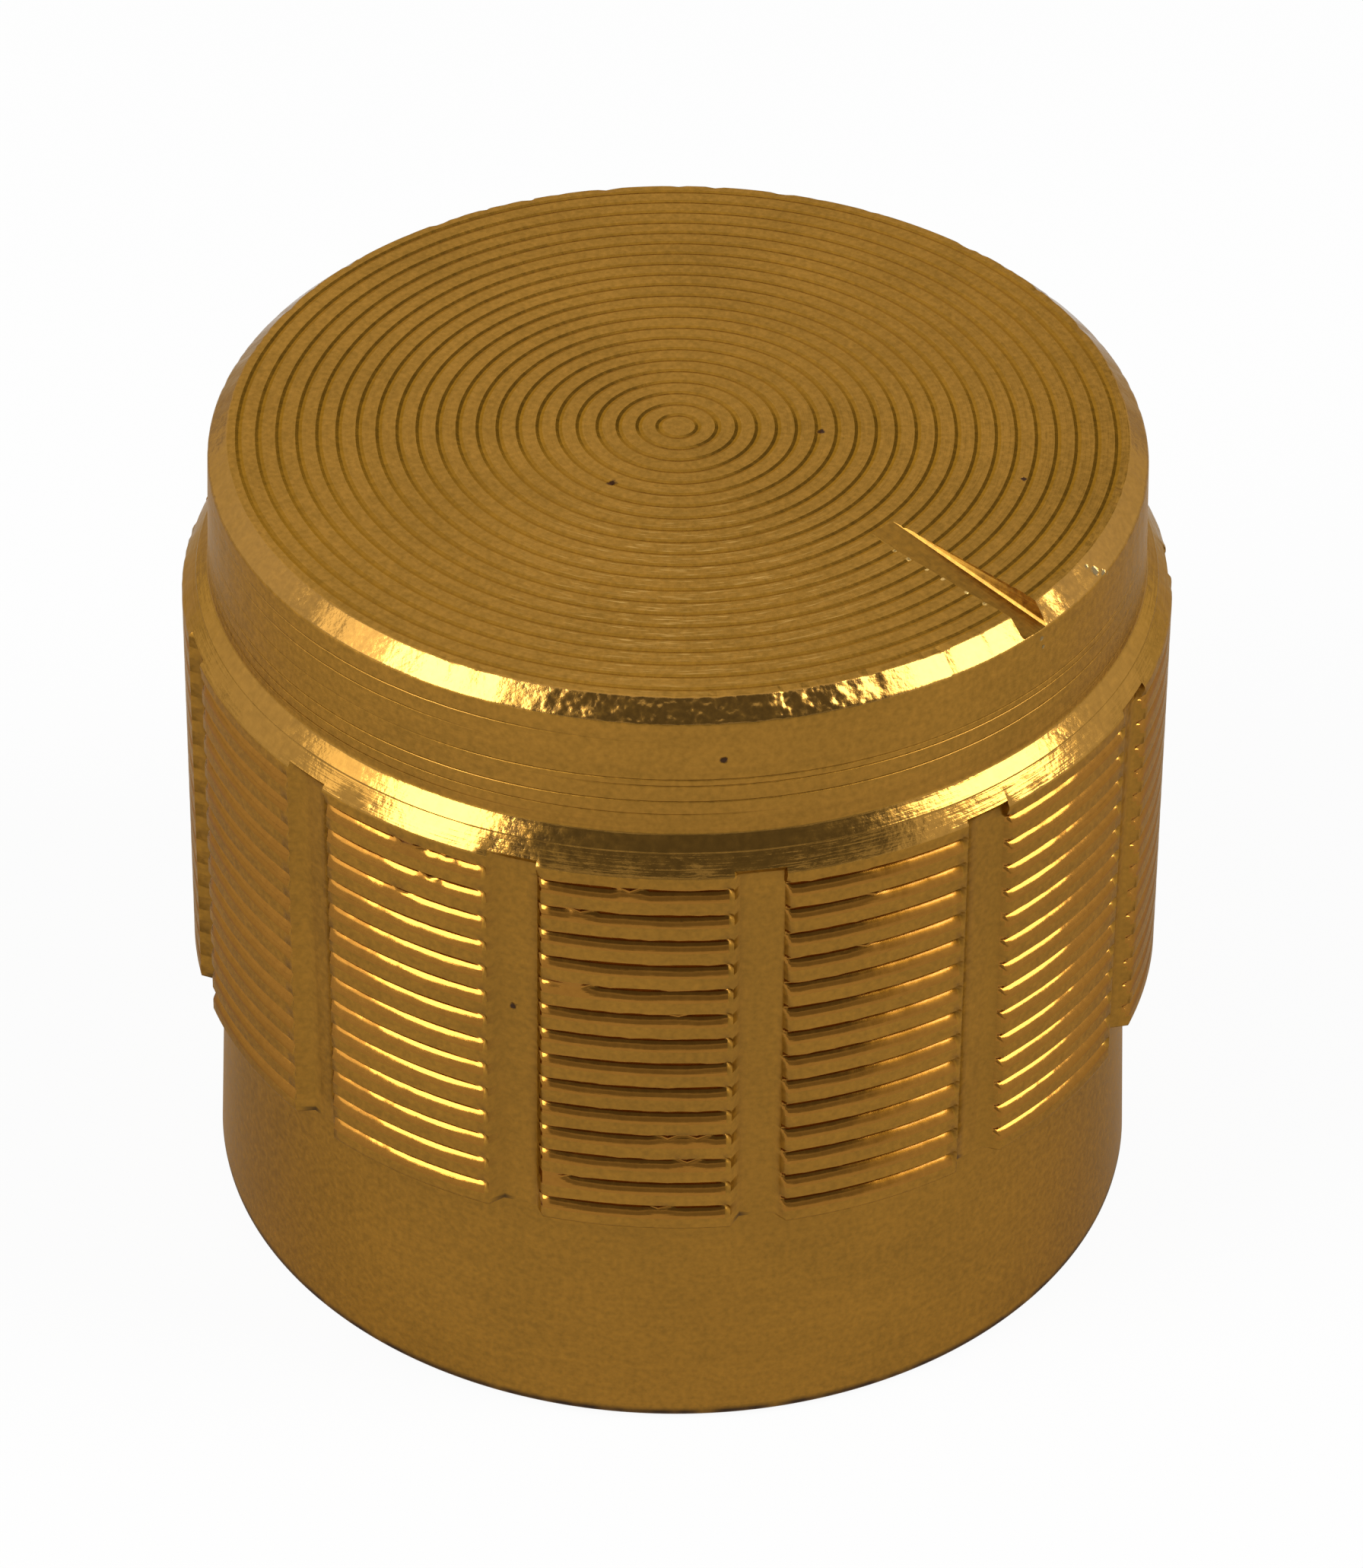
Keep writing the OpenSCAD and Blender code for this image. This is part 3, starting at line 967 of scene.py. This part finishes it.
        # Milled with a worn edge: a bright facet beside a plainer floor.
        wall = AnodisedAluminium(
            "aluminium_gold_milled_notch",
            ToolPath.ALONG_THE_NOTCH,
            metal="#b98833",
            deep="#aa7b2b",
            roughness=0.13,
            roughness_spread=0.04,
            line_pitch=0.05,
            line_run=3.0,
            line_depth=3.0,
            grain_depth=1.0,
        )
        floor = AnodisedAluminium(
            "aluminium_gold_milled_floor", ToolPath.ALONG_THE_NOTCH, roughness=0.36, line_pitch=0.05, line_run=3.0, line_depth=3.0, grain_depth=2.0
        )
        self.cut_notch(cap, self.notch_cutter(wall.build(), floor.build()))
        self.shade(cap.data)
        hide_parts("cap")
        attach(cap, "root")
        return cap


@dataclass
class ShaftInsert:
    """The moulded insert that grips the shaft; its solid is shown as it is."""

    node: str = "shaft_insert"
    finish: MouldedPlastic = field(default_factory=MouldedPlastic)

    def build(self) -> bpy.types.Object:
        """Give the insert's solid its plastic.

        Returns:
            The dressed piece.
        """
        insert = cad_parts[self.node]
        insert.data.materials.clear()
        insert.data.materials.append(self.finish.build())
        return insert


@dataclass(frozen=True)
class Softbox:
    """One soft lamp: where it stands, how wide it looks and how bright its face is."""

    name: str
    azimuth: float
    elevation: float
    width: float
    height: float
    radiance: float
    roll: float = 0.0
    distance: float = 0.3

    def build(self) -> None:
        """Hang the lamp so that it faces the knob."""
        lamp = bpy.data.lights.new(self.name, "AREA")
        lamp.shape = "ELLIPSE"
        lamp.size = 2 * self.distance * math.tan(math.radians(self.width / 2)) * math.cos(math.radians(self.elevation))
        lamp.size_y = 2 * self.distance * math.tan(math.radians(self.height / 2))
        lamp.energy = self.radiance * math.pi * math.pi / 4 * lamp.size * lamp.size_y
        obj = bpy.data.objects.new(self.name, lamp)
        away = toward(self.azimuth, self.elevation)
        obj.location = away * self.distance + Vector((0, 0, 0.0075))
        turned = Matrix.Rotation(math.radians(self.roll), 3, away) @ away.to_track_quat("Z", "Y").to_matrix()
        obj.rotation_euler = turned.to_euler()
        obj.visible_camera = False
        bpy.context.scene.collection.objects.link(obj)


@dataclass(frozen=True)
class Flag:
    """A dark or pale card that only shiny surfaces show, with soft edges."""

    name: str
    azimuth: tuple[float, float]
    elevation: tuple[float, float]
    radiance: float
    feather: float = 4.0
    distance: float = 0.4

    def build(self) -> None:
        """Bend the card round the knob and hang it up."""
        steps = 24
        points, soft, faces = [], [], []
        for i in range(steps + 1):
            for j in range(steps + 1):
                a = self.azimuth[0] + (self.azimuth[1] - self.azimuth[0]) * i / steps
                e = self.elevation[0] + (self.elevation[1] - self.elevation[0]) * j / steps
                points.append(toward(a, e) * self.distance)
                inside = min(a - self.azimuth[0], self.azimuth[1] - a, e - self.elevation[0], self.elevation[1] - e)
                soft.append(min(1.0, inside / self.feather))
        for i in range(steps):
            for j in range(steps):
                k = i * (steps + 1) + j
                faces.append([k, k + 1, k + steps + 2, k + steps + 1])
        mesh = bpy.data.meshes.new(self.name)
        mesh.from_pydata(points, [], faces)
        mesh.attributes.new("cover", "FLOAT", "POINT").data.foreach_set("value", soft)
        material = bpy.data.materials.new(self.name)
        material.use_nodes = True
        tree = material.node_tree
        tree.nodes.clear()
        cover = add_node(tree, "ShaderNodeAttribute", {"attribute_name": "cover"})
        clear = add_node(tree, "ShaderNodeBsdfTransparent")
        glow = add_node(tree, "ShaderNodeEmission", {}, {"Color": (1.0, 1.0, 1.0, 1.0), "Strength": self.radiance})
        mixed = add_node(tree, "ShaderNodeMixShader", {}, {}, {0: cover.outputs["Fac"], 1: clear.outputs[0], 2: glow.outputs[0]})
        add_node(tree, "ShaderNodeOutputMaterial", links={"Surface": mixed.outputs[0]})
        mesh.materials.append(material)
        obj = bpy.data.objects.new(self.name, mesh)
        obj.visible_camera = obj.visible_shadow = obj.visible_diffuse = False
        bpy.context.scene.collection.objects.link(obj)


@dataclass
class Studio:
    """White floor and surround, two softboxes and the dark cards between them."""

    softboxes: tuple[Softbox, ...] = (
        Softbox("softbox_left", -57.8, 38.0, 28.5, 46.0, 10.5, 20.0),
        Softbox("softbox_far_left", -83.0, 38.0, 24.0, 42.0, 1.6, 20.0),
        Softbox("softbox_right", 79.5, 38.0, 32.0, 45.0, 9.6, 14.0),
    )
    flags: tuple[Flag, ...] = (
        Flag("card_over_camera", (-43.0, 57.0), (24.0, 72.0), 0.2, 6.0),
        Flag("card_under_camera", (-38.0, 52.0), (-8.0, 28.0), 0.42, 8.0, 0.41),
        Flag("card_back_right", (142.0, 172.0), (22.0, 62.0), 0.33, 5.0),
    )
    ambient: float = 0.35
    white: float = 1.0
    floor_colour: str = "#cecece"

    def surround(self) -> None:
        """Make the world: plain light, and white where a camera or shiny surface looks at it."""
        world = bpy.data.worlds.new("white_surround")
        world.use_nodes = True
        tree = world.node_tree
        tree.nodes.clear()
        path = add_node(tree, "ShaderNodeLightPath")
        seen = add_node(
            tree, "ShaderNodeMath", {"operation": "MAXIMUM"}, {}, {0: path.outputs["Is Camera Ray"], 1: path.outputs["Is Glossy Ray"]}
        )
        seen = add_node(tree, "ShaderNodeMath", {"operation": "MAXIMUM"}, {}, {0: seen.outputs[0], 1: path.outputs["Is Transmission Ray"]})
        strength = add_node(tree, "ShaderNodeMapRange", {}, {"To Min": self.ambient, "To Max": self.white}, {"Value": seen.outputs[0]})
        glow = add_node(tree, "ShaderNodeBackground", {}, {"Color": (1.0, 1.0, 1.0, 1.0)}, {"Strength": strength.outputs[0]})
        add_node(tree, "ShaderNodeOutputWorld", links={"Surface": glow.outputs[0]})
        bpy.context.scene.world = world

    def floor(self) -> None:
        """Lay the floor: matt, and mostly plain white where the camera sees it."""
        mesh = bpy.data.meshes.new("floor")
        reach, low = 0.6, -0.00002
        mesh.from_pydata([(-reach, -reach, low), (reach, -reach, low), (reach, reach, low), (-reach, reach, low)], [], [[0, 1, 2, 3]])
        material = bpy.data.materials.new("floor_matt_white")
        material.use_nodes = True
        tree = material.node_tree
        tree.nodes.clear()
        path = add_node(tree, "ShaderNodeLightPath")
        share = add_node(tree, "ShaderNodeMath", {"operation": "MULTIPLY"}, {1: 0.94}, {0: path.outputs["Is Camera Ray"]})
        shiny = add_node(
            tree, "ShaderNodeMath", {"operation": "MAXIMUM"}, {}, {0: path.outputs["Is Glossy Ray"], 1: path.outputs["Is Transmission Ray"]}
        )
        sheen = add_node(tree, "ShaderNodeMath", {"operation": "MULTIPLY_ADD"}, {1: 0.35}, {0: shiny.outputs[0], 2: share.outputs[0]})
        cloth = add_node(tree, "ShaderNodeBsdfDiffuse", {}, {"Color": linear(self.floor_colour)})
        glow = add_node(tree, "ShaderNodeEmission", {}, {"Color": (1.0, 1.0, 1.0, 1.0), "Strength": self.white})
        lit = add_node(tree, "ShaderNodeMixShader", {}, {}, {0: sheen.outputs[0], 1: cloth.outputs[0], 2: glow.outputs[0]})
        side = add_node(tree, "ShaderNodeNewGeometry")
        clear = add_node(tree, "ShaderNodeBsdfTransparent")
        whole = add_node(tree, "ShaderNodeMixShader", {}, {}, {0: side.outputs["Backfacing"], 1: lit.outputs[0], 2: clear.outputs[0]})
        add_node(tree, "ShaderNodeOutputMaterial", links={"Surface": whole.outputs[0]})
        mesh.materials.append(material)
        obj = bpy.data.objects.new("floor", mesh)
        bpy.context.scene.collection.objects.link(obj)

    def build(self) -> None:
        """Set up the whole studio."""
        self.surround()
        self.floor()
        for part in (*self.softboxes, *self.flags):
            part.build()


@dataclass(frozen=True)
class PhotoCamera:
    """Camera where the photograph was taken, from a pinhole fit to the knob's outline."""

    distance: float = 105.23
    elevation: float = 0.65662
    yaw: float = -0.00103
    pitch: float = -0.00100
    roll: float = -0.00871
    target_z: float = 7.578
    lens: float = 138.35

    def build(self) -> bpy.types.Object:
        """Make the camera and give it to the scene.

        Returns:
            The camera's object.
        """
        back = round_axis(0.0, math.cos(self.elevation), math.sin(self.elevation))
        ahead = -back
        right = round_axis(90.0, 1.0, 0.0)
        up = right.cross(ahead)
        place = Vector((0, 0, self.target_z)) + back * self.distance
        turn = Matrix.Rotation(self.yaw, 3, up)
        ahead, right = turn @ ahead, turn @ right
        turn = Matrix.Rotation(self.pitch, 3, right)
        ahead, up = turn @ ahead, turn @ up
        turn = Matrix.Rotation(self.roll, 3, ahead)
        right, up = turn @ right, turn @ up
        data = bpy.data.cameras.new("photo_camera")
        data.lens, data.sensor_width, data.sensor_fit = self.lens, 36.0, "AUTO"
        data.clip_start, data.clip_end = 0.005, 5.0
        obj = bpy.data.objects.new("photo_camera", data)
        turned = Matrix((right, up, -ahead)).transposed()
        obj.matrix_world = Matrix.Translation(place * MM) @ turned.to_4x4()
        bpy.context.scene.collection.objects.link(obj)
        bpy.context.scene.camera = obj
        return obj


def cap_finishes() -> dict[Zone, AnodisedAluminium]:
    """List the cap's finishes.

    Returns:
        Finish of each zone.
    """
    side_marks = (
        Mark(round_axis(-18.5, 8.23, 8.88), 0.07),
        Mark(round_axis(5.5, 7.9, 14.0), 0.07),
        Mark(round_axis(48.2, 7.88, 14.52), 0.05, MarkKind.BARE),
        Mark(round_axis(48.6, 7.89, 14.34), 0.04, MarkKind.BARE),
        Mark(round_axis(62.8, 7.88, 14.64), 0.05, MarkKind.BARE),
    )
    face_marks = (
        Mark(on_face(2.39, -0.12), 0.08),
        Mark(on_face(5.72, -1.46), 0.06),
        Mark(on_face(-1.08, -1.66), 0.09),
        # Raised burrs along the notch's left edge, painted light as painted glints.
        *(Mark(Vector((along, 0.05, 15.0)), size, MarkKind.GLINTING_BURR) for along, size in ((4.99, 0.04), (5.32, 0.05), (5.71, 0.04), (6.07, 0.055), (6.6, 0.045), (7.02, 0.05))),
    )
    edge_marks = (
        Mark(round_axis(60.3, 7.64, 14.9), 0.05, MarkKind.BARE),
        Mark(round_axis(61.0, 7.76, 14.79), 0.08, MarkKind.BARE),
        Mark(round_axis(62.0, 7.86, 14.7), 0.08, MarkKind.BARE),
    )
    return {
        # Blasted after turning: a soft even gold with a fine mottle.
        Zone.SATIN: AnodisedAluminium("aluminium_gold_blasted_side", ToolPath.ROUND_THE_SIDE, line_depth=0.3, grain_size=0.1, grain_depth=3.5, marks=side_marks),
        # Turned and lightly blasted: the tool's lines still show.
        Zone.HEAD: AnodisedAluminium(
            "aluminium_gold_turned_head",
            ToolPath.ROUND_THE_SIDE,
            metal="#a27324",
            deep="#886018",
            roughness=0.4,
            line_pitch=0.16,
            line_run=9.0,
            line_depth=13.0,
            grain_size=0.1,
            grain_depth=2.5,
            scribed=(14.36, 14.07, 13.62, 13.5, 13.2, 12.95, 12.75),
            marks=side_marks,
        ),
        # Faced with a feed that leaves rings: satin between them.
        Zone.FACE: AnodisedAluminium(
            "aluminium_gold_turned_face",
            ToolPath.ROUND_THE_FACE,
            metal="#a8792b",
            deep="#8b631a",
            roughness=0.38,
            line_pitch=0.05,
            line_run=0.9,
            line_depth=5.0,
            grain_size=0.09,
            grain_depth=4.0,
            # Painted glints: short scratches at the front of the face are painted lighter.
            scratch_glint_at=on_face(0.3, -4.8),
            scratch_glint_reach=3.6,
            marks=face_marks,
        ),
        # The rings' flanks stay as the tool cut them, and so they glint.
        Zone.RING: AnodisedAluminium(
            "aluminium_gold_cut_ring", ToolPath.ROUND_THE_FACE, roughness=0.2, roughness_spread=0.04, coat=0.1, coat_roughness=0.2, line_pitch=0.06, line_run=2.5, grain_size=0.09, grain_depth=2.0, marks=face_marks
        ),
        # Cut bright, then knocked in the tumbler: mirror flecks.
        Zone.CHAMFER: AnodisedAluminium(
            "aluminium_gold_bright_chamfer",
            ToolPath.ROUND_THE_SIDE,
            metal="#aa7b2f",
            deep="#996e27",
            roughness=0.16,
            roughness_spread=0.05,
            coat=0.3,
            coat_roughness=0.15,
            line_depth=1.5,
            grain_size=0.1,
            grain_depth=5.0,
            fleck_size=0.22,
            fleck_depth=40.0,
            fleck_at=round_axis(4.0, 7.7, 14.85),
            fleck_reach=3.0,
            marks=edge_marks,
        ),
        # Cut bright with a form tool: streaks along the cut.
        Zone.BEVEL: AnodisedAluminium(
            "aluminium_gold_bright_bevel",
            ToolPath.ROUND_THE_SIDE,
            metal="#aa7b2f",
            deep="#996e27",
            roughness=0.14,
            roughness_spread=0.05,
            coat=0.22,
            coat_roughness=0.15,
            line_pitch=0.04,
            line_run=1.6,
            line_depth=5.0,
            grain_size=0.14,
            grain_depth=6.0,
        ),
        # Cut with a round-nosed tool: the brightest of all.
        Zone.GROOVE: AnodisedAluminium(
            "aluminium_gold_bright_groove",
            ToolPath.ROUND_THE_SIDE,
            metal="#97651a",
            deep="#8c5c13",
            roughness=0.15,
            roughness_spread=0.03,
            coat=0.22,
            coat_roughness=0.15,
            line_pitch=0.03,
            line_run=1.5,
            line_depth=1.5,
            grain_depth=2.0,
        ),
        # Left as bored: dull gold.
        Zone.CAVITY: AnodisedAluminium("aluminium_gold_bored_cavity", ToolPath.ROUND_THE_SIDE, roughness=0.45, line_pitch=0.15, line_depth=5.0),
    }


def main() -> None:
    """Build the knob, its studio and its camera."""
    logging.basicConfig(level=logging.INFO, format="%(name)s: %(message)s")
    cap = TurnedCap(finishes=cap_finishes()).build()
    LOG.info("%s: %d faces", cap.name, len(cap.data.polygons))
    insert = ShaftInsert().build()
    LOG.info("%s: %d faces", insert.name, len(insert.data.polygons))
    Studio().build()
    PhotoCamera().build()
    bpy.context.scene.view_settings.view_transform = "Standard"


if __name__ == "__main__":
    main()
